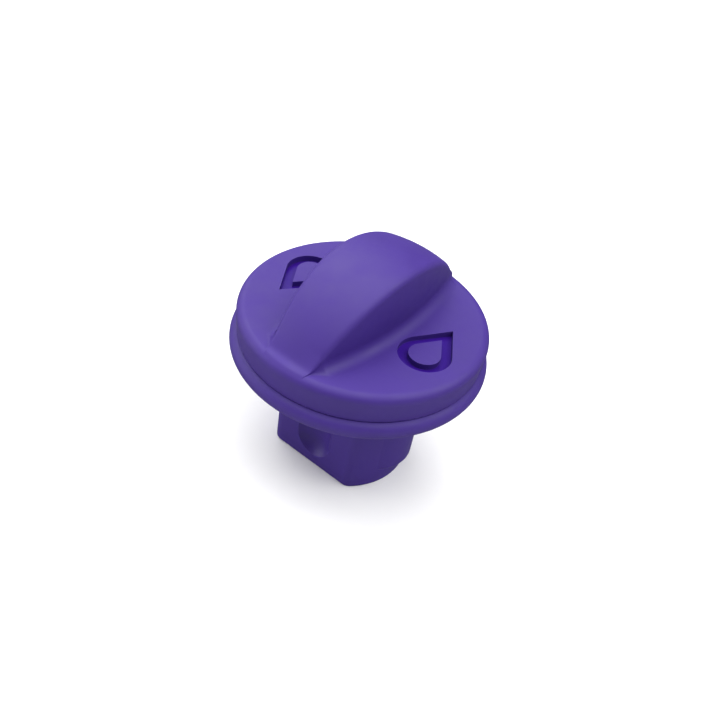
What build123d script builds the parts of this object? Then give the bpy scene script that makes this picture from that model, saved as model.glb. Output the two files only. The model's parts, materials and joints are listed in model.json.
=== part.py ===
from build123d import *
import math
import os

# A twist-in plug for an irrigation body: a round cap with an arched grip bar turns a
# hollow double-D key inside a seat ring that stays still against the body's top face.
# Millimetres. +Z is up along the turning axis, +Y runs along the grip bar, and the
# origin is the centre of the key's bottom end.

# ---- driving dimensions -----------------------------------------------------------
CAP_RADIUS = 25.0
RIM_Z = 36.6
SKIRT_BOTTOM_Z = 30.65
SKIRT_BOTTOM_RADIUS = 24.7
RIM_ROUND = 1.7
DISC_DISH = 0.5
DISC_UNDERSIDE_Z = 34.0
SKIRT_WALL = 2.4

GRIP_HEIGHT = 12.7
GRIP_HALF_LENGTH = 23.1
GRIP_SHIFT = 0.9
GRIP_HALF_WIDTH_MID = 8.0
GRIP_HALF_WIDTH_END = 5.0
GRIP_WALL = 2.4
GRIP_CROWN = 0.85
GRIP_EDGE_ROUND = 1.3
WHEEL_SPARE = 1.2

BEAD_RADIUS = 1.95
BEAD_OUTER_RADIUS = 26.1
BEAD_Z = 28.6
WEB_BOTTOM_Z = 27.9
WEB_TOP_Z = 29.9
HUB_RADIUS = 13.0
HUB_TOP_Z = 33.0

JOURNAL_RADIUS = 10.0
JOURNAL_TOP_Z = 33.6
JOURNAL_CLEARANCE = 0.05
SHOULDER_Z = 27.6

KEY_RADIUS = 14.6
KEY_HALF_FLAT = 10.85
KEY_CORNER_ROUND = 2.2
KEY_FOOT_ROUND = 0.5
LUG_RADIUS = 15.7
LUG_SWELL_RADIUS = 12.0
LUG_PEAK_DEG = 18.0
LUG_FOOT_Z = 2.9
LUG_RAMP_DEG = 11.0
LUG_FOOT_ROUND = 0.7
LUG_START_DEG = -24.0
LUG_SWEEP_DEG = 54.0
SHORT_LUG_SWEEP_DEG = 34.0
GROOVE_HALF_WIDTH = 4.3
GROOVE_DEPTH = 1.9
GROOVE_END_Z = 2.8

KEY_HOLLOW_RADIUS = 12.0
KEY_HOLLOW_HALF_FLAT = 7.5
KEY_HOLLOW_CORNER = 1.5
KEY_HOLLOW_TOP_Z = 24.0

TONGUE_HALF_WIDTH = 4.1
TONGUE_INNER_Y = 6.0
TONGUE_OUTER_Y = 9.0
TONGUE_TOP_Z = 38.0

BOSS_RADIUS = 5.8
BOSS_TOP_Z = 43.0
PAD_RADIUS = 9.5
STOP_INNER_RADIUS = 15.5
STOP_OUTER_RADIUS = 18.5
TRAVEL_DEG = 90.0
STOP_GAP_DEG = 1.0
STOP_SWEEP_DEG = (180 - TRAVEL_DEG) / 2 - STOP_GAP_DEG
STOP_END_GAP = 0.4

GASKET_INNER_RADIUS = 16.4
GASKET_OUTER_RADIUS = 22.0
GASKET_BOTTOM_Z = 26.3

SEAL_SECTION_RADIUS = 0.78
SEAL_GROOVE_FLOOR_RADIUS = 8.4
SEAL_GROOVE_BOTTOM_Z = 29.6
SEAL_GROOVE_TOP_Z = 32.0

SLIP_INNER_RADIUS = 10.2
SLIP_OUTER_RADIUS = 12.8
SLIP_THICKNESS = 0.9

SCREW_SHANK_RADIUS = 1.95
SCREW_HEAD_RADIUS = 3.8
SCREW_HEAD_HEIGHT = 2.6
SCREW_LENGTH = 16.0
SCREW_HOLE_RADIUS = 2.2
WASHER_RADIUS = 4.6
WASHER_THICKNESS = 1.0
INSERT_RADIUS = 2.8
INSERT_BORE_RADIUS = 2.0
INSERT_LENGTH = 6.0
INSERT_RECESS = 0.1
TIP_SPACE = 2.0
SCREW_HEAD_ROUND = 1.2
SCREW_TIP_CHAMFER = 0.6
RECESS_LENGTH = 4.0
RECESS_WIDTH = 0.9
RECESS_DEPTH = 1.5

DROP_CENTRE_X = 15.6
DROP_CENTRE_Y = -1.8
DROP_RADIUS = 5.2
DROP_TIP_Y = 8.0
DROP_STROKE = 2.1
DROP_DEPTH = 1.2

OVERLAP = 0.5


# ---- small shape helpers ----------------------------------------------------------
def cylinder(radius, low, high):
    """An upright cylinder on the axis between two heights."""
    return Pos(0, 0, low) * extrude(Circle(radius), high - low)


def tube(inner, outer, low, high):
    """An upright tube on the axis between two heights."""
    return Pos(0, 0, low) * extrude(Circle(outer) - Circle(inner), high - low)


def revolved(points):
    """A body of revolution about the axis from a closed outline of (radius, height)."""
    outline = Polyline(*[(r, 0, z) for r, z in points], close=True)
    return revolve(make_face(outline), axis=Axis.Z)


def sector(inner, outer, start_deg, sweep_deg, low, high):
    """A curved block: part of a tube, from one angle through a sweep."""
    profile = Plane.XZ * Pos((inner + outer) / 2, (low + high) / 2) * Rectangle(outer - inner, high - low)
    return Rot(0, 0, start_deg) * revolve(profile, axis=Axis.Z, revolution_arc=sweep_deg)


def double_d(radius, half_flat, corner, low, high):
    """A round bar with two parallel flats facing -Y and +Y and rounded upright corners."""
    section = Circle(radius) & Rectangle(2 * radius, 2 * half_flat)
    section = fillet(section.vertices(), corner)
    return Pos(0, 0, low) * extrude(section, high - low)


def opposite_pair(shape):
    """The shape with its half-turn copy about the axis."""
    return shape + Rot(0, 0, 180) * shape


# ---- grip cap ---------------------------------------------------------------------
def arch_radius():
    """Radius of the arc that spans the grip's length and rises by its height."""
    return (GRIP_HALF_LENGTH ** 2 + GRIP_HEIGHT ** 2) / (2 * GRIP_HEIGHT)


def arch_wheel(inset):
    """A wheel with a crowned rim, whose upper part gives the bar its arch and its crown."""
    centre_z = RIM_Z + GRIP_HEIGHT - arch_radius()
    middle = arch_radius() - inset
    edge = middle - GRIP_CROWN * WHEEL_SPARE ** 2
    half = GRIP_HALF_WIDTH_MID * WHEEL_SPARE
    rim = ThreePointArc((-half, edge), (0, middle), (half, edge))
    sides = Polyline((half, edge), (half, 0), (-half, 0), (-half, edge))
    wheel = revolve(Plane.XZ * make_face([rim, sides]), axis=Axis.X)
    return Pos(0, GRIP_SHIFT, centre_z) * wheel


def arched_bar(inset, low):
    """The grip bar: a plan bowed outwards in the middle, under an arch along its length."""
    mid = GRIP_HALF_WIDTH_MID - inset
    end = GRIP_HALF_WIDTH_END - inset
    near, far = GRIP_SHIFT - GRIP_HALF_LENGTH, GRIP_SHIFT + GRIP_HALF_LENGTH
    right = ThreePointArc((end, near), (mid, GRIP_SHIFT), (end, far))
    left = ThreePointArc((-end, far), (-mid, GRIP_SHIFT), (-end, near))
    ends = [Line(right @ 1, left @ 0), Line(left @ 1, right @ 0)]
    plan = make_face([right, ends[0], left, ends[1]])
    prism = Pos(0, 0, low) * extrude(plan, RIM_Z + GRIP_HEIGHT + 1 - low)
    return prism & arch_wheel(inset)


def cap_disc():
    """Disc and skirt: a tapered skirt, a rounded rim and a slightly dished top."""
    rim_inner = CAP_RADIUS - RIM_ROUND
    corner = (CAP_RADIUS, RIM_Z - RIM_ROUND)
    bend = RIM_ROUND * (1 - math.sqrt(0.5))
    skirt = Line((SKIRT_BOTTOM_RADIUS, SKIRT_BOTTOM_Z), corner)
    rim = ThreePointArc(corner, (CAP_RADIUS - bend, RIM_Z - bend), (rim_inner, RIM_Z))
    dish_mid = (rim_inner / 2, RIM_Z - 0.75 * DISC_DISH)
    dish = ThreePointArc((rim_inner, RIM_Z), dish_mid, (0, RIM_Z - DISC_DISH))
    axis = Line((0, RIM_Z - DISC_DISH), (0, SKIRT_BOTTOM_Z))
    base = Line((0, SKIRT_BOTTOM_Z), (SKIRT_BOTTOM_RADIUS, SKIRT_BOTTOM_Z))
    outline = make_face([skirt, rim, dish, axis, base])
    return revolve(Plane.XZ * outline, axis=Axis.Z)


def drop_outline():
    """A plain water-drop outline: a round bulb drawn out to a tip, as a stroke."""
    reach = DROP_TIP_Y - DROP_CENTRE_Y
    angle = math.acos(DROP_RADIUS / reach)
    touch = (DROP_RADIUS * math.sin(angle), DROP_RADIUS * math.cos(angle))
    bulb = ThreePointArc(touch, (0, -DROP_RADIUS), (-touch[0], touch[1]))
    sides = [Line((-touch[0], touch[1]), (0, reach)), Line((0, reach), touch)]
    solid_drop = make_face([bulb, sides[0], sides[1]])
    hollow = offset(solid_drop, amount=-DROP_STROKE)
    return Pos(DROP_CENTRE_X, DROP_CENTRE_Y) * (solid_drop - hollow)


def drop_cutter():
    """The drop as a cutter that reaches DROP_DEPTH below the disc's top."""
    floor = RIM_Z - DISC_DISH / 2 - DROP_DEPTH
    return Pos(0, 0, floor) * extrude(drop_outline(), 2 * DROP_DEPTH)


def cap_shell():
    """Outside of the cap: the disc, and the bar with its crest rounded where the hand meets it."""
    bar = arched_bar(0, DISC_UNDERSIDE_Z)
    crest = [e for e in bar.edges() if e.center().Z > RIM_Z + 1 and e.length > GRIP_HALF_LENGTH]
    return cap_disc() + fillet(crest, GRIP_EDGE_ROUND)


def grip_cap():
    """Cap moulding: shell, cored grip, screw boss, landing pad and two stop lugs."""
    hollow = cylinder(SKIRT_BOTTOM_RADIUS - SKIRT_WALL, SKIRT_BOTTOM_Z - 1, DISC_UNDERSIDE_Z)
    body = cap_shell() - hollow
    pad = cylinder(PAD_RADIUS, JOURNAL_TOP_Z, DISC_UNDERSIDE_Z + OVERLAP)
    body = body + pad
    body = body - arched_bar(GRIP_WALL, JOURNAL_TOP_Z - 1)
    body = body + cylinder(BOSS_RADIUS, JOURNAL_TOP_Z, BOSS_TOP_Z)
    insert_top = JOURNAL_TOP_Z + INSERT_RECESS + INSERT_LENGTH
    body = body - cylinder(INSERT_RADIUS, JOURNAL_TOP_Z - 1, insert_top)
    body = body - cylinder(INSERT_BORE_RADIUS, insert_top, insert_top + TIP_SPACE)
    lug = sector(STOP_INNER_RADIUS, STOP_OUTER_RADIUS, -STOP_SWEEP_DEG / 2, STOP_SWEEP_DEG,
                 WEB_TOP_Z + STOP_END_GAP, DISC_UNDERSIDE_Z + OVERLAP)
    body = body + opposite_pair(lug)
    return body - opposite_pair(drop_cutter())


# ---- seat ring and its gasket -----------------------------------------------------
def seat_ring():
    """Round bead on a web, a hub that guides the journal, and two stop blocks."""
    centre = BEAD_OUTER_RADIUS - BEAD_RADIUS
    bead = Pos(0, 0, BEAD_Z) * Torus(centre, BEAD_RADIUS)
    bore = JOURNAL_RADIUS + JOURNAL_CLEARANCE
    web = tube(bore, centre, WEB_BOTTOM_Z, WEB_TOP_Z)
    hub = tube(bore, HUB_RADIUS, WEB_BOTTOM_Z, HUB_TOP_Z)
    start = -STOP_SWEEP_DEG / 2 - STOP_GAP_DEG - STOP_SWEEP_DEG
    block = sector(STOP_INNER_RADIUS, STOP_OUTER_RADIUS, start, STOP_SWEEP_DEG,
                   WEB_TOP_Z - OVERLAP, DISC_UNDERSIDE_Z - STOP_END_GAP)
    return bead + web + hub + opposite_pair(block)


def ring_gasket():
    """Flat rubber ring under the web, proud of the bead so that it meets the body first."""
    return tube(GASKET_INNER_RADIUS, GASKET_OUTER_RADIUS, GASKET_BOTTOM_Z, WEB_BOTTOM_Z)


# ---- key stem ---------------------------------------------------------------------
def key_lug(sweep_deg):
    """A pad that swells out of the key's round side, with a lower end ramped to draw the key in."""
    centre = Rot(0, 0, LUG_PEAK_DEG) * Pos(LUG_RADIUS - LUG_SWELL_RADIUS, 0, 0)
    block = sector(KEY_RADIUS - 1, LUG_RADIUS + 1, LUG_START_DEG, sweep_deg, 0, SHOULDER_Z)
    block = block & centre * cylinder(LUG_SWELL_RADIUS, 0, SHOULDER_Z)
    under = Pos(LUG_RADIUS, 0, LUG_FOOT_Z) * Rot(-LUG_RAMP_DEG, 0, 0) * Pos(0, 0, -LUG_RADIUS)
    block = block - under * Box(2 * LUG_RADIUS, 4 * LUG_RADIUS, 2 * LUG_RADIUS)
    foot = [e for e in block.edges() if e.center().Z < LUG_FOOT_Z + 1 and e.center().X > KEY_RADIUS]
    return fillet(foot, LUG_FOOT_ROUND)


def flat_groove():
    """A round-bottomed groove in the flat, open at the shoulder and ball-ended below."""
    radius = (GROOVE_HALF_WIDTH ** 2 + GROOVE_DEPTH ** 2) / (2 * GROOVE_DEPTH)
    axis_y = -(KEY_HALF_FLAT - GROOVE_DEPTH + radius)
    low = GROOVE_END_Z + GROOVE_HALF_WIDTH
    run = Pos(0, axis_y, low) * extrude(Circle(radius), SHOULDER_Z + 1 - low)
    return run + Pos(0, axis_y, low) * Sphere(radius)


def key_stem():
    """Hollow double-D key with a long and a short lug, two grooves, a journal and two tongues."""
    key = double_d(KEY_RADIUS, KEY_HALF_FLAT, KEY_CORNER_ROUND, 0, SHOULDER_Z)
    key = fillet(key.faces().sort_by(Axis.Z)[0].edges(), KEY_FOOT_ROUND)
    key = key + key_lug(LUG_SWEEP_DEG) + Rot(0, 0, 180) * key_lug(SHORT_LUG_SWEEP_DEG)
    key = key - opposite_pair(flat_groove())
    key = key + cylinder(JOURNAL_RADIUS, SHOULDER_Z - 1, JOURNAL_TOP_Z)
    key = key - tube(SEAL_GROOVE_FLOOR_RADIUS, JOURNAL_RADIUS + 1, SEAL_GROOVE_BOTTOM_Z, SEAL_GROOVE_TOP_Z)
    tongue_y = (TONGUE_INNER_Y + TONGUE_OUTER_Y) / 2
    tongue_low = JOURNAL_TOP_Z - OVERLAP
    section = Pos(0, tongue_y, tongue_low) * Rectangle(2 * TONGUE_HALF_WIDTH, TONGUE_OUTER_Y - TONGUE_INNER_Y)
    key = key + opposite_pair(extrude(section, TONGUE_TOP_Z - tongue_low, dir=(0, 0, 1)))
    hollow = double_d(KEY_HOLLOW_RADIUS, KEY_HOLLOW_HALF_FLAT, KEY_HOLLOW_CORNER, -1, KEY_HOLLOW_TOP_Z)
    return key - hollow - cylinder(SCREW_HOLE_RADIUS, 0, JOURNAL_TOP_Z + 1)


def shaft_seal():
    """O-ring in the journal's groove, running against the hub's bore."""
    centre = SEAL_GROOVE_FLOOR_RADIUS + (JOURNAL_RADIUS - SEAL_GROOVE_FLOOR_RADIUS) / 2
    return Pos(0, 0, (SEAL_GROOVE_BOTTOM_Z + SEAL_GROOVE_TOP_Z) / 2) * Torus(centre, SEAL_SECTION_RADIUS)


def slip_washer():
    """Thin washer under the cap that slides on top of the hub."""
    return tube(SLIP_INNER_RADIUS, SLIP_OUTER_RADIUS, DISC_UNDERSIDE_Z - SLIP_THICKNESS, DISC_UNDERSIDE_Z)


# ---- fastening --------------------------------------------------------------------
def screw_washer():
    """Plain washer between the screw head and the key's inner end wall."""
    return tube(SCREW_HOLE_RADIUS, WASHER_RADIUS, KEY_HOLLOW_TOP_Z - WASHER_THICKNESS, KEY_HOLLOW_TOP_Z)


def clamp_screw():
    """Pan-head screw with a cross recess, driven up through the key into the cap."""
    under_head = KEY_HOLLOW_TOP_Z - WASHER_THICKNESS
    head_low = under_head - SCREW_HEAD_HEIGHT
    head = cylinder(SCREW_HEAD_RADIUS, head_low, under_head)
    head = fillet(head.edges().sort_by(Axis.Z)[0], SCREW_HEAD_ROUND)
    slot = Box(RECESS_LENGTH, RECESS_WIDTH, 2 * RECESS_DEPTH)
    recess = Pos(0, 0, head_low) * (slot + Rot(0, 0, 90) * slot)
    shank = cylinder(SCREW_SHANK_RADIUS, under_head - OVERLAP, under_head + SCREW_LENGTH)
    shank = chamfer(shank.edges().sort_by(Axis.Z)[-1], SCREW_TIP_CHAMFER)
    return head + shank - recess


def thread_insert():
    """Plain brass insert moulded into the cap's boss, around the screw's end."""
    low = JOURNAL_TOP_Z + INSERT_RECESS
    return tube(INSERT_BORE_RADIUS, INSERT_RADIUS, low, low + INSERT_LENGTH)


PARTS = {
    "grip_cap": grip_cap,
    "seat_ring": seat_ring,
    "ring_gasket": ring_gasket,
    "key_stem": key_stem,
    "shaft_seal": shaft_seal,
    "slip_washer": slip_washer,
    "clamp_screw": clamp_screw,
    "screw_washer": screw_washer,
    "thread_insert": thread_insert,
}

os.makedirs("parts", exist_ok=True)
for name, make in PARTS.items():
    export_step(make(), f"parts/{name}.step")
    print("wrote", name)
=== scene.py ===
# %% [markdown]
# # A twist-in irrigation plug
# The object is a small purple plug: a round cap with an arched grip bar turns a hollow key
# inside a seat ring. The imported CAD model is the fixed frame. It can be loaded and only given
# materials, or its outer pieces can be made again as finer surfaces. Here the cap is made
# again, because its grip runs into its disc through a soft curved foot, and the rest keeps
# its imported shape, which is already right.

# %% Load the frame
import json
import math

import bpy
import numpy as np
from mathutils import Matrix, Vector


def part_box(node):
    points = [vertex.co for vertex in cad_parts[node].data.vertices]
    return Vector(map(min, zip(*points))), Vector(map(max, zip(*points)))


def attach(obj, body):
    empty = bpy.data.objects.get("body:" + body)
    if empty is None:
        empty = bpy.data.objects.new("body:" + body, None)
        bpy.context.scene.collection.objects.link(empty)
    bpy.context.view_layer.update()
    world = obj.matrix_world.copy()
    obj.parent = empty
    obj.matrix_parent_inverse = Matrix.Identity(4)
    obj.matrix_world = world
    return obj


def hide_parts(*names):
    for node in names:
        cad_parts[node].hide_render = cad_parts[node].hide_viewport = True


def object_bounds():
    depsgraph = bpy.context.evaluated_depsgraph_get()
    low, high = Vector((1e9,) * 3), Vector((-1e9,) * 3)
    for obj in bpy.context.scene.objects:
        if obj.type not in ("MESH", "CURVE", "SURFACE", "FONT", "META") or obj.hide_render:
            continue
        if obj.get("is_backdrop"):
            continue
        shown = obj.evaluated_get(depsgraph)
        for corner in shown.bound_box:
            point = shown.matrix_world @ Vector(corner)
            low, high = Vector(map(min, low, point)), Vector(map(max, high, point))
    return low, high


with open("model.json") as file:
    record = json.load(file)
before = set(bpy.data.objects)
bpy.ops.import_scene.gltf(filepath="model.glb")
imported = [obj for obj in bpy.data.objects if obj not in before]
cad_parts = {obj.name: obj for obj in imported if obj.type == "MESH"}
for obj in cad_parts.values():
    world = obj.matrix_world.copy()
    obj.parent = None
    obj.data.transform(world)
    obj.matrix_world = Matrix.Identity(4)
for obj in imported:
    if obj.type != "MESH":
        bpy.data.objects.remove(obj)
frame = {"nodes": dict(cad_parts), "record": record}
cad_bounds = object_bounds()
MM = 0.001
nodes = frame["nodes"]
print("nodes:", sorted(nodes))

# %% [markdown]
# ## Where things are
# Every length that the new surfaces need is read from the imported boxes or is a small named
# size in millimetres. The cap's box gives its radius and the grip's crest, and the key's box
# gives the height that the plug stands at. Lengths could be typed in from a drawing, but a
# measured frame keeps every surface in step with the solids.

# %% Measure the frame
cap_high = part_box("grip_cap")[1]
key_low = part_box("key_stem")[0]
CAP_RADIUS = cap_high.x
CREST_Z = cap_high.z
GRIP_HEIGHT = 12.7 * MM
RIM_Z = CREST_Z - GRIP_HEIGHT
SKIRT_HEIGHT = 5.95 * MM
LIP_Z = RIM_Z - SKIRT_HEIGHT
FLOOR_Z = key_low.z
print("cap radius and rim height, mm:", round(CAP_RADIUS / MM, 2), round(RIM_Z / MM, 2))

# %% [markdown]
# ## Camera
# The plug stands on its key and the camera looks down on it from its front right. The whole
# view is rolled a little, so the turning axis leans. The camera could be placed by eye and
# pointed with a constraint, but a place worked out from an azimuth, an elevation, a roll and
# a distance in cap radii is exact and easy to change.

# %% Place the camera
AZIMUTH, ELEVATION, ROLL = math.radians(31.3), math.radians(40.96), math.radians(-11.03)
DISTANCE = 6.0 * CAP_RADIUS
SHIFT_RIGHT, SHIFT_UP = 0.045 * CAP_RADIUS, 0.396 * CAP_RADIUS
VIEW_ANGLE = math.radians(50.24)
NEAREST_SEEN = 5 * MM

back = Vector((math.sin(AZIMUTH) * math.cos(ELEVATION), -math.cos(AZIMUTH) * math.cos(ELEVATION),
               math.sin(ELEVATION)))
level_right = Vector((math.cos(AZIMUTH), math.sin(AZIMUTH), 0))
level_up = back.cross(level_right)
right = math.cos(ROLL) * level_right - math.sin(ROLL) * level_up
up = math.sin(ROLL) * level_right + math.cos(ROLL) * level_up
place = Vector((0, 0, RIM_Z)) + DISTANCE * back - SHIFT_RIGHT * right - SHIFT_UP * up
camera_data = bpy.data.cameras.new("camera")
camera_data.angle = VIEW_ANGLE
camera_data.clip_start = NEAREST_SEEN
camera = bpy.data.objects.new("camera", camera_data)
turned = Matrix((right, up, back)).transposed().to_4x4()
camera.matrix_world = Matrix.Translation(place) @ turned
bpy.context.scene.collection.objects.link(camera)
bpy.context.scene.camera = camera
print("camera at, mm:", [round(v / MM, 1) for v in place])

# %% [markdown]
# ## Grids
# A surface here is a rectangle of points worked out by a formula and joined into squares.
# The same helpers serve every new piece: one joins a grid, one fans a row to a single point,
# and one makes the mesh, shades it smooth and keeps the corners that are really sharp.

# %% Helpers that turn arrays into meshes
SHARP_ANGLE = math.radians(35)


def grid_faces(index):
    """Squares between neighbours of a 2-D array of vertex numbers, anticlockwise from outside."""
    a, b = index[:-1, :-1], index[:-1, 1:]
    c, d = index[1:, 1:], index[1:, :-1]
    return np.stack([a, b, c, d], axis=-1).reshape(-1, 4).tolist()


def fan_faces(centre, row):
    """Triangles from one vertex number to each pair of neighbours in a row of numbers."""
    return [[centre, a, b] for a, b in zip(row[:-1], row[1:])]


def mesh_object(name, points, faces):
    """A smooth-shaded object at the origin, whose edges stay sharp past SHARP_ANGLE."""
    mesh = bpy.data.meshes.new(name)
    mesh.from_pydata(np.asarray(points).tolist(), [], faces)
    mesh.polygons.foreach_set("use_smooth", np.ones(len(mesh.polygons), bool))
    mesh.set_sharp_from_angle(angle=SHARP_ANGLE)
    mesh.validate()
    piece = bpy.data.objects.new(name, mesh)
    bpy.context.scene.collection.objects.link(piece)
    print(name, len(mesh.vertices), "points", len(mesh.polygons), "faces")
    return piece


print("corners stay sharp past degrees:", round(math.degrees(SHARP_ANGLE)))

# %% [markdown]
# ## The grip's cross-section
# The real grip is one moulding with the disc: a bar bowed outwards in plan, arched along its
# length and crowned across it, with rounded crest edges, upright sides and a hollow curve at
# its foot. It could be a stack of bevelled solids, but a bevel fails where the bar runs out
# at the rim. A cross-section that is worked out afresh at each place along the bar, and
# whose radii shrink with the bar's height, runs out smoothly there.

# %% Heights of the disc and the grip
RIM_ROUND = 1.7 * MM
DISC_RADIUS = CAP_RADIUS - RIM_ROUND
TOP_RADIUS = CAP_RADIUS - 0.5 * MM
DISC_DISH = 0.5 * MM
GRIP_HALF_LENGTH, GRIP_SHIFT = 23.1 * MM, 0.9 * MM
GRIP_MID, GRIP_END = 8.0 * MM, 5.0 * MM
GRIP_CROWN = 0.85 * MM
CREST_ROUND, FOOT_ROUND = 1.3 * MM, 2.2 * MM
RUN_OUT = 1.3 * MM
WALL_DRAFT = 0.02
WIDEST_SHARE = 0.8
EDGE_FADE = 0.8 * MM


def disc_height(x, y):
    """Height of the cap without its grip.

    Inside the disc: rim height minus dish times (1 - (r / disc radius) squared). Outside it:
    the rim's quarter circle, which falls away with the distance past the disc.
    """
    r = np.hypot(x, y)
    dish = DISC_DISH * (1 - np.clip(r / DISC_RADIUS, 0, 1) ** 2)
    past = np.clip(r - DISC_RADIUS, 0, RIM_ROUND)
    return RIM_Z - dish - (RIM_ROUND - np.sqrt(RIM_ROUND ** 2 - past ** 2))


def row_reach(y, radius):
    """How far a row at y runs sideways inside a circle of the given radius."""
    return np.sqrt(np.clip(radius ** 2 - y ** 2, 0, None))


def grip_half_width(y):
    """Half the bar's width: a circle's arc from GRIP_END at its ends to GRIP_MID in the middle.

    Near the rim it is held to WIDEST_SHARE of the row's own reach.
    """
    bow = GRIP_MID - GRIP_END
    radius = (GRIP_HALF_LENGTH ** 2 + bow ** 2) / (2 * bow)
    width = GRIP_MID - radius + np.sqrt(radius ** 2 - (y - GRIP_SHIFT) ** 2)
    return np.minimum(width, WIDEST_SHARE * row_reach(y, TOP_RADIUS))


def grip_rise(x, y):
    """Height of the arch's circle over the disc, rounded off to nothing where they meet.

    Rounded: (over + root of (over squared + run-out squared)) / 2. A smooth step over
    EDGE_FADE then brings it to zero at the top grid's edge.
    """
    radius = (GRIP_HALF_LENGTH ** 2 + GRIP_HEIGHT ** 2) / (2 * GRIP_HEIGHT)
    arch = CREST_Z - radius + np.sqrt(radius ** 2 - (y - GRIP_SHIFT) ** 2)
    over = arch - disc_height(x, y)
    rounded = (over + np.sqrt(over ** 2 + RUN_OUT ** 2)) / 2
    edge = np.clip((TOP_RADIUS - np.hypot(x, y)) / EDGE_FADE, 0, 1)
    return rounded * edge ** 2 * (3 - 2 * edge)


print("bar's half width in the middle and near an end, mm:",
      (grip_half_width(GRIP_SHIFT + GRIP_HALF_LENGTH * np.array([0, -0.9])) / MM).round(2))

# %% Points across the cap at each place along the grip
CROWN_STEPS, ROUND_STEPS, WALL_STEPS, FOOT_STEPS, DISC_STEPS, RIM_STEPS = 12, 9, 8, 10, 22, 8
FOOT_FADE, FOOT_ROOM = 1.5, 0.6
DISC_LEAST, DISC_MOST = 0.25, 0.92
RIM_LEAD = 0.1 * MM


def half_section(y):
    """Sideways distance and share of the arch's height, from the bar's middle to the cap's edge.

    Crown: rise minus crown times (x / width) squared. Crest edge: a quarter circle. Wall: a
    straight line with draft. Foot: a quarter circle the other way. Disc and rim: zero.
    """
    y = y[:, None]
    rise, width = grip_rise(0 * y, y) + MM / 1000, grip_half_width(y)
    scale = np.clip(rise / (CREST_ROUND + FOOT_ROUND), 1e-3, 1)
    outer = row_reach(y, TOP_RADIUS)
    crest, crown = CREST_ROUND * scale, GRIP_CROWN * scale
    foot = np.minimum(FOOT_ROUND * scale ** FOOT_FADE, FOOT_ROOM * (outer - width))
    slope = np.arctan(2 * crown * (width - crest) / np.maximum(width, MM / 10) ** 2)
    start = width - crest + crest * np.sin(slope)
    x = start * np.linspace(0, 1, CROWN_STEPS)[None, :-1]
    parts = [(x, rise - crown * (x / width) ** 2)]
    edge_height = rise - crown * (start / width) ** 2 - crest * np.cos(slope)
    angle = slope + (math.pi / 2 - slope) * np.linspace(0, 1, ROUND_STEPS)[None, :-1]
    parts.append((width - crest + crest * np.sin(angle), edge_height + crest * np.cos(angle)))
    drop = (edge_height - foot) * np.linspace(0, 1, WALL_STEPS)[None, :-1]
    parts.append((width + WALL_DRAFT * drop, edge_height - drop))
    base = width + WALL_DRAFT * (edge_height - foot)
    angle = math.pi / 2 * np.linspace(0, 1, FOOT_STEPS)[None, :-1]
    parts.append((base + foot * (1 - np.cos(angle)), foot * (1 - np.sin(angle))))
    start, room = base + foot, outer - base - foot
    rim_start = row_reach(y, DISC_RADIUS - RIM_LEAD)
    flat = np.clip(rim_start, start + DISC_LEAST * room, start + DISC_MOST * room)
    x = start + (flat - start) * np.linspace(0, 1, DISC_STEPS)[None, :-1]
    parts.append((x, np.zeros_like(x)))
    x = flat + (outer - flat) * np.linspace(0, 1, RIM_STEPS)[None, :]
    parts.append((x, np.zeros_like(x)))
    height = np.concatenate([p[1] for p in parts], 1)
    return np.concatenate([p[0] for p in parts], 1), height / rise


print("points across half a row:", half_section(np.zeros(1))[0].shape[1])

# %% [markdown]
# ## The cap's outline below the disc
# From the disc's edge the cap is round, so one profile is carried round the axis: the rim's
# quarter circle, the skirt with its draft, the lip, the inside of the skirt and the
# underside. A Screw modifier could turn the profile, but its steps would not meet the disc's
# rows. Here the steps round the axis are the ends of those rows, so the two grids share
# their points and leave no seam.

# %% Profile of rim, skirt and underside
SKIRT_WALL = 2.4 * MM
SKIRT_DRAFT = 0.3 * MM
LIP_ROUND = 0.12 * MM
CEILING_Z = RIM_Z - 2.6 * MM
RIM_ARC_STEPS, SKIRT_STEPS, LIP_STEPS = 9, 8, 5
CEILING_SHARES = (1, 0.7, 0.35)


def arc(centre_r, centre_z, radius, start, stop, steps):
    """Points on a circle in the (radius, height) plane between two angles in degrees."""
    angle = np.radians(np.linspace(start, stop, steps))
    return np.stack([centre_r + radius * np.cos(angle), centre_z + radius * np.sin(angle)], 1)


def skirt_profile():
    """(radius, height) from just past the top grid's edge, down the outside and in to the axis."""
    lip = CAP_RADIUS - SKIRT_DRAFT
    inside = lip - SKIRT_WALL
    top = math.degrees(math.acos((TOP_RADIUS - DISC_RADIUS) / RIM_ROUND))
    rim = arc(DISC_RADIUS, RIM_Z - RIM_ROUND, RIM_ROUND, top, 0, RIM_ARC_STEPS)[1:]
    share = np.linspace(0, 1, SKIRT_STEPS)[1:-1, None]
    skirt = rim[-1] + share * (np.array([lip, LIP_Z + LIP_ROUND]) - rim[-1])
    outer_edge = arc(lip - LIP_ROUND, LIP_Z + LIP_ROUND, LIP_ROUND, 0, -90, LIP_STEPS)
    inner_edge = arc(inside + LIP_ROUND, LIP_Z + LIP_ROUND, LIP_ROUND, -90, -180, LIP_STEPS)
    ceiling = np.array([[part_in * inside, CEILING_Z] for part_in in CEILING_SHARES])
    return np.concatenate([rim, skirt, outer_edge, inner_edge, ceiling])


print("profile points:", len(skirt_profile()))

# %% Build the cap
ROWS = 220


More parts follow.
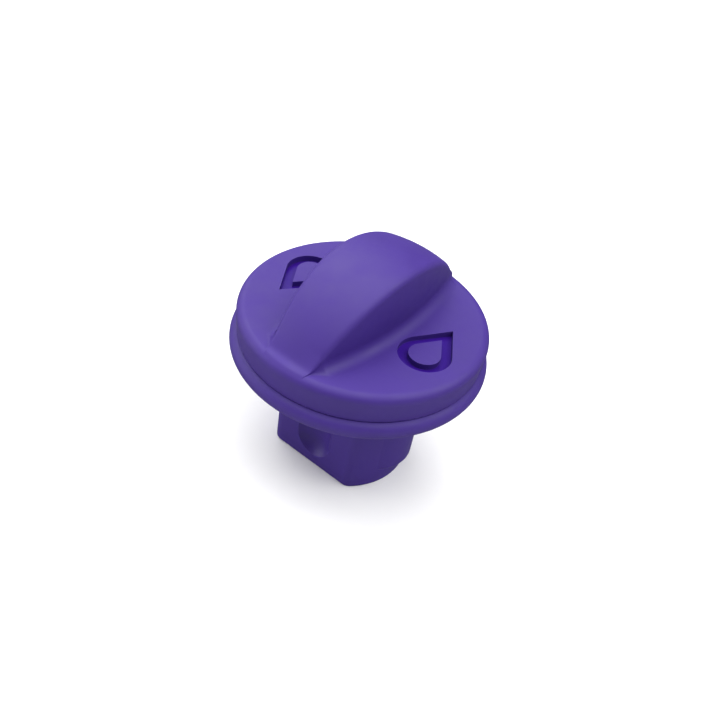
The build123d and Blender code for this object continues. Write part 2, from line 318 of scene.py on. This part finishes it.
def cap_surface():
    """Points and faces of the whole cap.

    Row angles t run evenly from 0 to pi, so y = -top radius times cos t and each row's ends
    lie evenly round the top grid's edge. The two ends of the bar's line are single points.
    """
    t = np.linspace(0, math.pi, ROWS + 1)[1:-1]
    y = -TOP_RADIUS * np.cos(t)
    x_half, share_half = half_section(y)
    x = np.concatenate([-x_half[:, :0:-1], x_half], 1)
    share = np.concatenate([share_half[:, :0:-1], share_half], 1)
    y_all = np.repeat(y[:, None], x.shape[1], 1)
    top = np.stack([x, y_all, disc_height(x, y_all) + share * grip_rise(x, y_all)], -1)
    rows, columns = x.shape
    index = np.arange(rows * columns).reshape(rows, columns)
    pole_z = float(disc_height(0, TOP_RADIUS))
    poles = np.array([[0, -TOP_RADIUS, pole_z], [0, TOP_RADIUS, pole_z]])
    south, north = rows * columns, rows * columns + 1
    faces = grid_faces(index)
    faces += fan_faces(south, index[0, ::-1].tolist()) + fan_faces(north, index[-1].tolist())
    ring = np.concatenate([[south], index[:, -1], [north], index[::-1, 0]])
    around = np.concatenate([[-math.pi / 2], t - math.pi / 2, [math.pi / 2], math.pi / 2 + t])
    profile = skirt_profile()
    r, z = profile[:, 0][:, None], profile[:, 1][:, None]
    wall = np.stack([r * np.cos(around), r * np.sin(around), z + 0 * around], -1)
    first = rows * columns + 2
    wall_index = first + np.arange(wall.shape[0] * wall.shape[1]).reshape(wall.shape[:2])
    wall_index = np.concatenate([ring[None, :], wall_index])
    wall_index = np.concatenate([wall_index, wall_index[:, :1]], 1)
    faces += grid_faces(wall_index[::-1])
    centre = first + wall.shape[0] * wall.shape[1]
    faces += fan_faces(centre, wall_index[-1, ::-1].tolist())
    points = np.concatenate([top.reshape(-1, 3), poles, wall.reshape(-1, 3), [[0, 0, CEILING_Z]]])
    return points, faces


cap = mesh_object("grip_cap_moulding", *cap_surface())

# %% [markdown]
# ## Engraved drops
# Each side of the disc carries a plain water-drop outline, sunk with upright walls. A bump
# would not cast the fine shadow inside it, and grid lines bent to follow the outline would
# crowd the disc, so a closed cutter in the outline's shape is taken out of the cap.

# %% Cut the drops
DROP_X, DROP_Y = 15.6 * MM, -1.8 * MM
DROP_RADIUS, DROP_REACH = 5.2 * MM, 9.8 * MM
DROP_STROKE, DROP_DEPTH = 2.1 * MM, 1.2 * MM
ENGRAVED_Z = RIM_Z - DISC_DISH / 2 - DROP_DEPTH
DROP_STEPS, SIDE_STEPS = 72, 10


def drop_loop(radius, reach):
    """A drop's outline: a circle's arc up to its tangent points, then two lines to the tip."""
    touch = math.acos(radius / reach)
    sweep = np.linspace(math.pi / 2 + touch, 5 * math.pi / 2 - touch, DROP_STEPS)
    bulb = radius * np.stack([np.cos(sweep), np.sin(sweep)], 1)
    share = np.linspace(0, 1, SIDE_STEPS)[1:, None]
    rising = bulb[-1] + share * (np.array([0, reach]) - bulb[-1])
    falling = rising[-1] + share[:-1] * (bulb[0] - rising[-1])
    return np.concatenate([bulb, rising, falling])


def drop_cutter(side):
    """A closed ring between two drop outlines, from the engraving's floor to above the disc.

    Its four loops are joined round in a circle. A side of -1 turns it half a turn.
    """
    slope = DROP_REACH / DROP_RADIUS
    outer = drop_loop(DROP_RADIUS, DROP_REACH)
    inner = drop_loop(DROP_RADIUS - DROP_STROKE, DROP_REACH - DROP_STROKE * slope)
    low, high = ENGRAVED_Z, RIM_Z + DROP_DEPTH
    loops = [(outer, low), (outer, high), (inner, high), (inner, low)]
    points = np.array([np.column_stack([loop, np.full(len(loop), z)]) for loop, z in loops])
    points[..., 0] += DROP_X
    points[..., 1] += DROP_Y
    points[..., :2] *= side
    index = np.arange(points.shape[0] * points.shape[1]).reshape(points.shape[:2])
    index = np.concatenate([index, index[:1]])
    index = np.concatenate([index, index[:, :1]], 1)
    return mesh_object("drop_cutter", points.reshape(-1, 3), grid_faces(index))


def cut_out(piece, cutter):
    """Takes a closed cutter out of a closed piece, and removes the cutter."""
    modifier = piece.modifiers.new("cut", "BOOLEAN")
    modifier.operation = "DIFFERENCE"
    modifier.solver = "EXACT"
    modifier.object = cutter
    bpy.context.view_layer.update()
    evaluated = piece.evaluated_get(bpy.context.evaluated_depsgraph_get())
    result = bpy.data.meshes.new_from_object(evaluated)
    piece.modifiers.clear()
    piece.data = result
    bpy.data.objects.remove(cutter)


for side in (1, -1):
    cut_out(cap, drop_cutter(side))
cap.data.set_sharp_from_angle(angle=SHARP_ANGLE)
print("cap faces after engraving:", len(cap.data.polygons))

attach(cap, "plug")
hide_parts("grip_cap")

# %% [markdown]
# ## Moulded plastic
# The purple is one satin polypropylene on every moulding. Up close such a skin has a very
# fine grain from the mould, a slow drift in tone where the melt cooled, and corners that
# handling has rubbed a touch paler and smoother. A painted colour would look flat, so a
# group works out these masks once, and each plastic mixes its own colours with them.

# %% Helpers that add and join nodes


def socket(group, name, way="INPUT", value=0.0):
    """Adds a named number to a node group, as an input with a value or as an output."""
    made = group.interface.new_socket(name=name, in_out=way, socket_type="NodeSocketFloat")
    made.default_value = value


def add(tree, kind, **settings):
    """Adds a node and sets its plain properties."""
    node = tree.nodes.new(kind)
    for key, value in settings.items():
        setattr(node, key, value)
    return node


def link(tree, source, target):
    """Joins an output socket to an input socket."""
    tree.links.new(source, target)


def noise(tree, vector, scale, detail):
    """A noise texture on a vector, whose scale is a number or a socket, and its factor."""
    node = add(tree, "ShaderNodeTexNoise")
    if isinstance(scale, float):
        node.inputs["Scale"].default_value = scale
    else:
        link(tree, scale, node.inputs["Scale"])
    node.inputs["Detail"].default_value = detail
    link(tree, vector, node.inputs["Vector"])
    return node.outputs["Fac"]


def remap(tree, value, low, high, to_low, to_high):
    """Spreads a value from one range over another, held at the ends."""
    node = add(tree, "ShaderNodeMapRange")
    node.inputs["From Min"].default_value = low
    node.inputs["From Max"].default_value = high
    node.inputs["To Min"].default_value = to_low
    node.inputs["To Max"].default_value = to_high
    link(tree, value, node.inputs["Value"])
    return node.outputs["Result"]


def math_node(tree, operation, first, second):
    """One arithmetic step on two sockets or numbers."""
    node = add(tree, "ShaderNodeMath", operation=operation)
    for place_in, value in zip(node.inputs, (first, second)):
        if isinstance(value, (int, float)):
            place_in.default_value = value
        else:
            link(tree, value, place_in)
    return node.outputs[0]


print("node helpers:", [helper.__name__ for helper in (socket, add, link, noise, remap, math_node)])

# %% Group for a moulded skin
DRIFT_SCALE, CLOUD_SCALE, RUB_SCALE = 45.0, 260.0, 420.0
DRIFT_SHARE, CLOUD_SHARE = 0.7, 0.3
NOISE_LOW, NOISE_HIGH = 0.3, 0.7
RUB_LOW, RUB_HIGH = 0.35, 0.65
WEAR_RADIUS = 0.35 * MM
CORNER_TURN = 0.8


def edge_mask(tree, radius):
    """One at corners and zero on plain faces, from how far a bevelled normal turns away."""
    bevel = add(tree, "ShaderNodeBevel", samples=4)
    bevel.inputs["Radius"].default_value = radius
    geometry = add(tree, "ShaderNodeNewGeometry")
    dot = add(tree, "ShaderNodeVectorMath", operation="DOT_PRODUCT")
    link(tree, bevel.outputs["Normal"], dot.inputs[0])
    link(tree, geometry.outputs["Normal"], dot.inputs[1])
    return remap(tree, dot.outputs["Value"], 1.0, CORNER_TURN, 0.0, 1.0)


def moulded_skin_group():
    """Tone, Wear, Roughness and Height of a moulded plastic skin, from object coordinates."""
    group = bpy.data.node_groups.new("moulded_skin", "ShaderNodeTree")
    for name in ("Grain scale", "Roughness low", "Roughness high"):
        socket(group, name)
    for name in ("Tone", "Wear", "Roughness", "Height"):
        socket(group, name, way="OUTPUT")
    inputs, outputs = add(group, "NodeGroupInput"), add(group, "NodeGroupOutput")
    place_in = add(group, "ShaderNodeTexCoord").outputs["Object"]
    drift = noise(group, place_in, DRIFT_SCALE, 2.0)
    cloud = noise(group, place_in, CLOUD_SCALE, 3.0)
    tone = math_node(group, "ADD", math_node(group, "MULTIPLY", drift, DRIFT_SHARE),
                     math_node(group, "MULTIPLY", cloud, CLOUD_SHARE))
    link(group, remap(group, tone, NOISE_LOW, NOISE_HIGH, 0.0, 1.0), outputs.inputs["Tone"])
    rub = remap(group, noise(group, place_in, RUB_SCALE, 4.0), RUB_LOW, RUB_HIGH, 0.0, 1.0)
    wear = math_node(group, "MULTIPLY", edge_mask(group, WEAR_RADIUS), rub)
    link(group, wear, outputs.inputs["Wear"])
    grain = noise(group, place_in, inputs.outputs["Grain scale"], 2.0)
    link(group, grain, outputs.inputs["Height"])
    spread = add(group, "ShaderNodeMapRange")
    spread.inputs["From Min"].default_value = NOISE_LOW
    spread.inputs["From Max"].default_value = NOISE_HIGH
    link(group, cloud, spread.inputs["Value"])
    link(group, inputs.outputs["Roughness low"], spread.inputs["To Min"])
    link(group, inputs.outputs["Roughness high"], spread.inputs["To Max"])
    link(group, spread.outputs["Result"], outputs.inputs["Roughness"])
    return group


moulded_skin = moulded_skin_group()
print("group outputs:", [s.name for s in moulded_skin.interface.items_tree if s.in_out == "OUTPUT"])

# %% [markdown]
# ## The plastics
# The cap, ring and key are one purple, but the key's surface is a little smoother, and the key's
# copy of the purple is painted a little lighter: painted light that lifts the key's shaded sides.
# The floors of the drops come from a polished part of the mould, so they are smoother; their
# darker, deeper colour is painted shade for the shadow inside the sunk drops. The seals are
# black rubber and the slip washer is plastic in its natural white. One shader could be copied
# and edited for each, but a function with the tones and the grain as its inputs keeps them
# alike. The even shine is set on the shader itself.

# %% Materials made with the group
RUBBED_SHARE, GRAIN_STRENGTH = 0.35, 0.25
SATIN_SHEEN, ENGRAVED_SHEEN = 0.4, 0.1


def new_material(name):
    """An empty node material with its Principled shader joined to the output."""
    material = bpy.data.materials.new(name)
    material.use_nodes = True
    tree = material.node_tree
    shader = tree.nodes["Principled BSDF"]
    return material, tree, shader


def mix_colour(tree, factor, first, second):
    """A colour mix whose ends are colours or sockets."""
    node = add(tree, "ShaderNodeMix", data_type="RGBA")
    link(tree, factor, node.inputs["Factor"])
    for name, value in (("A", first), ("B", second)):
        target = next(s for s in node.inputs if s.name == name and s.type == "RGBA")
        if isinstance(value, tuple):
            target.default_value = (*value, 1)
        else:
            link(tree, value, target)
    return next(s for s in node.outputs if s.type == "RGBA")


def moulded_plastic(name, dark, light, rubbed, grain_scale, grain_depth, rough, sheen=SATIN_SHEEN):
    """Moulded skin: two close tones, paler rubbed corners and a fine grain."""
    material, tree, shader = new_material(name)
    skin = add(tree, "ShaderNodeGroup", node_tree=moulded_skin)
    skin.inputs["Grain scale"].default_value = grain_scale
    skin.inputs["Roughness low"].default_value = rough[0]
    skin.inputs["Roughness high"].default_value = rough[1]
    colour = mix_colour(tree, skin.outputs["Tone"], dark, light)
    rubbing = math_node(tree, "MULTIPLY", skin.outputs["Wear"], RUBBED_SHARE)
    colour = mix_colour(tree, rubbing, colour, rubbed)
    link(tree, colour, shader.inputs["Base Color"])
    link(tree, skin.outputs["Roughness"], shader.inputs["Roughness"])
    bump = add(tree, "ShaderNodeBump")
    bump.inputs["Strength"].default_value = GRAIN_STRENGTH
    bump.inputs["Distance"].default_value = grain_depth
    link(tree, skin.outputs["Height"], bump.inputs["Height"])
    link(tree, bump.outputs["Normal"], shader.inputs["Normal"])
    shader.inputs["Specular IOR Level"].default_value = sheen
    return material


PURPLE_DARK, PURPLE_LIGHT = (0.038, 0.0135, 0.188), (0.044, 0.0160, 0.215)
PURPLE_RUBBED = (0.09, 0.055, 0.32)
PURPLE_GRAIN, PURPLE_GRAIN_DEPTH = 3200.0, 0.02 * MM
cap_plastic = moulded_plastic("cap_plastic_satin", PURPLE_DARK, PURPLE_LIGHT, PURPLE_RUBBED,
                              PURPLE_GRAIN, PURPLE_GRAIN_DEPTH, (0.54, 0.64))
# The key's tones are the same purple painted a little lighter: painted light that lifts the key's shaded
# sides.
key_plastic = moulded_plastic("key_plastic_satin_painted_light", (0.041, 0.0142, 0.205), (0.046, 0.0162, 0.232),
                              PURPLE_RUBBED, PURPLE_GRAIN, PURPLE_GRAIN_DEPTH, (0.40, 0.48))
# The drops' floors are the purple painted darker and deeper: painted shade for the shadow inside the sunk
# drops.
engraved_plastic_painted_shade = moulded_plastic("engraved_plastic_painted_shade", (0.026, 0.0045, 0.175), (0.030, 0.0055, 0.20),
                                   PURPLE_RUBBED, PURPLE_GRAIN, PURPLE_GRAIN_DEPTH / 2, (0.30, 0.36),
                                   ENGRAVED_SHEEN)
seal_rubber = moulded_plastic("seal_rubber_matt", (0.014, 0.014, 0.016), (0.022, 0.022, 0.024),
                              (0.06, 0.06, 0.062), 2600.0, 0.03 * MM, (0.55, 0.7))
slip_plastic = moulded_plastic("slip_plastic_natural", (0.70, 0.70, 0.67), (0.78, 0.78, 0.75),
                               (0.85, 0.85, 0.83), 3600.0, 0.01 * MM, (0.3, 0.4))
print("plastics:", [m.name for m in (cap_plastic, key_plastic, engraved_plastic_painted_shade, seal_rubber, slip_plastic)])

# %% [markdown]
# ## Turned metal
# The screw, its washer and the insert are small turned or stamped metal parts. Their finish
# is fine rings round the axis, left by the tool. Rings could be an anisotropic reflection,
# but a noise on the distance from the axis also gives each ring its own depth.

# %% Group for turned metal
RING_SCALE = 9000.0


def turned_metal_group():
    """Rings round the Z axis: noise on (distance from the axis, height), as Shade and Height."""
    group = bpy.data.node_groups.new("turned_metal", "ShaderNodeTree")
    socket(group, "Ring scale", value=RING_SCALE)
    for name in ("Shade", "Height"):
        socket(group, name, way="OUTPUT")
    inputs, outputs = add(group, "NodeGroupInput"), add(group, "NodeGroupOutput")
    split = add(group, "ShaderNodeSeparateXYZ")
    link(group, add(group, "ShaderNodeTexCoord").outputs["Object"], split.inputs[0])
    squares = math_node(group, "ADD", math_node(group, "POWER", split.outputs[0], 2.0),
                        math_node(group, "POWER", split.outputs[1], 2.0))
    join = add(group, "ShaderNodeCombineXYZ")
    link(group, math_node(group, "SQRT", squares, 0.0), join.inputs[0])
    link(group, split.outputs[2], join.inputs[2])
    rings = noise(group, join.outputs[0], inputs.outputs["Ring scale"], 3.0)
    link(group, rings, outputs.inputs["Height"])
    link(group, remap(group, rings, NOISE_LOW, NOISE_HIGH, 0.0, 1.0), outputs.inputs["Shade"])
    return group


turned_metal = turned_metal_group()
print("turning rings are about", round(1 / RING_SCALE / MM, 2), "mm apart")

# %% Metals made with the group
RING_STRENGTH, RING_DEPTH = 0.3, 0.01 * MM


def metal(name, dark, light, rough):
    """Metal whose tone and roughness follow its turning rings."""
    material, tree, shader = new_material(name)
    rings = add(tree, "ShaderNodeGroup", node_tree=turned_metal)
    link(tree, mix_colour(tree, rings.outputs["Shade"], dark, light), shader.inputs["Base Color"])
    link(tree, remap(tree, rings.outputs["Shade"], 0.0, 1.0, *rough), shader.inputs["Roughness"])
    bump = add(tree, "ShaderNodeBump")
    bump.inputs["Strength"].default_value = RING_STRENGTH
    bump.inputs["Distance"].default_value = RING_DEPTH
    link(tree, rings.outputs["Height"], bump.inputs["Height"])
    link(tree, bump.outputs["Normal"], shader.inputs["Normal"])
    shader.inputs["Metallic"].default_value = 1.0
    return material


screw_steel = metal("screw_steel_turned", (0.42, 0.42, 0.43), (0.62, 0.62, 0.62), (0.24, 0.38))
insert_brass = metal("insert_brass_turned", (0.55, 0.36, 0.12), (0.75, 0.53, 0.20), (0.22, 0.34))
print("metals:", screw_steel.name, insert_brass.name)

# %% [markdown]
# ## Give each piece its finish
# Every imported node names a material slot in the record, so one table from slot to finish
# serves them all. The new cap takes two finishes: one material with a mask would also do, but
# the drops' floors are faces of their own, so a second material on them is simpler and its
# edge is exact.

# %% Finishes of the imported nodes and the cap
FINISHES = {"cap_plastic": cap_plastic, "key_plastic": key_plastic, "seal_rubber": seal_rubber,
            "slip_plastic": slip_plastic, "screw_steel": screw_steel, "insert_brass": insert_brass}
for part in frame["record"]["subparts"]:
    piece = nodes[part["node"]]
    piece.data.materials.clear()
    piece.data.materials.append(FINISHES[part["material_slot"]])
cap.data.materials.clear()
cap.data.materials.append(cap_plastic)
cap.data.materials.append(engraved_plastic_painted_shade)

# %% The engraved floors take the polished finish with its painted shade
centres = np.empty(3 * len(cap.data.polygons))
cap.data.polygons.foreach_get("center", centres)
centre_x, centre_y, centre_z = centres.reshape(-1, 3).T
at_floor = np.abs(centre_z - ENGRAVED_Z) < MM / 1000
engraved = at_floor & (np.hypot(centre_x, centre_y) < DISC_RADIUS)
cap.data.polygons.foreach_set("material_index", engraved.astype(np.int32))
print("engraved floor faces:", engraved.sum())

# %% [markdown]
# ## Floor and light
# The plug stands on a plain pale floor in an even studio. A wide soft light overhead gives
# the bright tops and the soft pool of shadow under the cap. Two behind brighten the edges
# that face away, a low one from the left opens the key's side, and dim surroundings fill the
# rest. The front stays darker than the top, which is what shows the skirt's and the key's
# shapes. Area lamps would do, but suns with a wide disc need no placing and fall off nowhere.
# The floor glows a little to lift its shadow, and is left out of reflections, where its
# brightness would bleach the purple.

# %% Floor
FLOOR_HALF = 1.5
FIBRE_SCALE = 300.0
PAPER_DARK, PAPER_LIGHT = (0.83, 0.83, 0.83), (0.85, 0.85, 0.85)
PAPER_GLOW, PAPER_SHEEN = 0.09, 0.1
corners = [(x * FLOOR_HALF, y * FLOOR_HALF, FLOOR_Z) for x, y in ((-1, -1), (1, -1), (1, 1), (-1, 1))]
floor = mesh_object("floor", corners, [[0, 1, 2, 3]])
floor_paper, tree, shader = new_material("floor_paper")
fibre = noise(tree, add(tree, "ShaderNodeTexCoord").outputs["Object"], FIBRE_SCALE, 4.0)
link(tree, mix_colour(tree, fibre, PAPER_DARK, PAPER_LIGHT), shader.inputs["Base Color"])
link(tree, remap(tree, fibre, 0.0, 1.0, 0.85, 0.95), shader.inputs["Roughness"])
shader.inputs["Specular IOR Level"].default_value = PAPER_SHEEN
shader.inputs["Emission Color"].default_value = (1, 1, 1, 1)
shader.inputs["Emission Strength"].default_value = PAPER_GLOW
floor.data.materials.append(floor_paper)
floor.visible_glossy = False
floor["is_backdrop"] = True

# %% Lights
LAMP_DISTANCE = 0.3


def soft_sun(name, azimuth, elevation, spread, strength):
    """A sun whose disc is `spread` degrees wide, from a direction round the turning axis.

    Away from the plug: (sin a cos e, -cos a cos e, sin e) for azimuth a and elevation e.
    """
    data = bpy.data.lights.new(name, "SUN")
    data.angle = math.radians(spread)
    data.energy = strength
    lamp = bpy.data.objects.new(name, data)
    a, e = math.radians(azimuth), math.radians(elevation)
    away = Vector((math.sin(a) * math.cos(e), -math.cos(a) * math.cos(e), math.sin(e)))
    lamp.location = Vector((0, 0, RIM_Z)) + LAMP_DISTANCE * away
    lamp.rotation_euler = away.to_track_quat("Z", "Y").to_euler()
    bpy.context.scene.collection.objects.link(lamp)


soft_sun("overhead", 0, 90, 70, 2.85)
soft_sun("behind_left", 250, 45, 60, 1.9)
soft_sun("behind_right", 121, 45, 40, 1.5)
soft_sun("left_low", 301, 12, 40, 1.1)
print("lights:", [lamp.name for lamp in bpy.data.lights])

# %% [markdown]
# ## Surroundings
# The studio's walls are far away and dim, but look white behind the plug. A white world would
# flood the shadows, so the world is bright only where the camera sees it directly.

# %% World
FILL_STRENGTH, SEEN_STRENGTH = 0.2, 1.0
world = bpy.data.worlds.new("studio")
world.use_nodes = True
surround = world.node_tree.nodes["Background"]
surround.inputs["Color"].default_value = (1, 1, 1, 1)
seen = add(world.node_tree, "ShaderNodeLightPath").outputs["Is Camera Ray"]
strength = remap(world.node_tree, seen, 0.0, 1.0, FILL_STRENGTH, SEEN_STRENGTH)
link(world.node_tree, strength, surround.inputs["Strength"])
bpy.context.scene.world = world
bpy.context.scene.view_settings.view_transform = "Standard"
print("world fill:", FILL_STRENGTH)

# %% [markdown]
# ## Finish
# The visual model keeps to the CAD model's box, so both boxes are printed side by side.

# %% Print the sizes
visual_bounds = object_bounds()
sizes = {"cad": [list(corner) for corner in cad_bounds],
         "visual": [list(corner) for corner in visual_bounds]}
for name, box in sizes.items():
    print(name, "box, mm:", [[round(v / MM, 2) for v in corner] for corner in box])
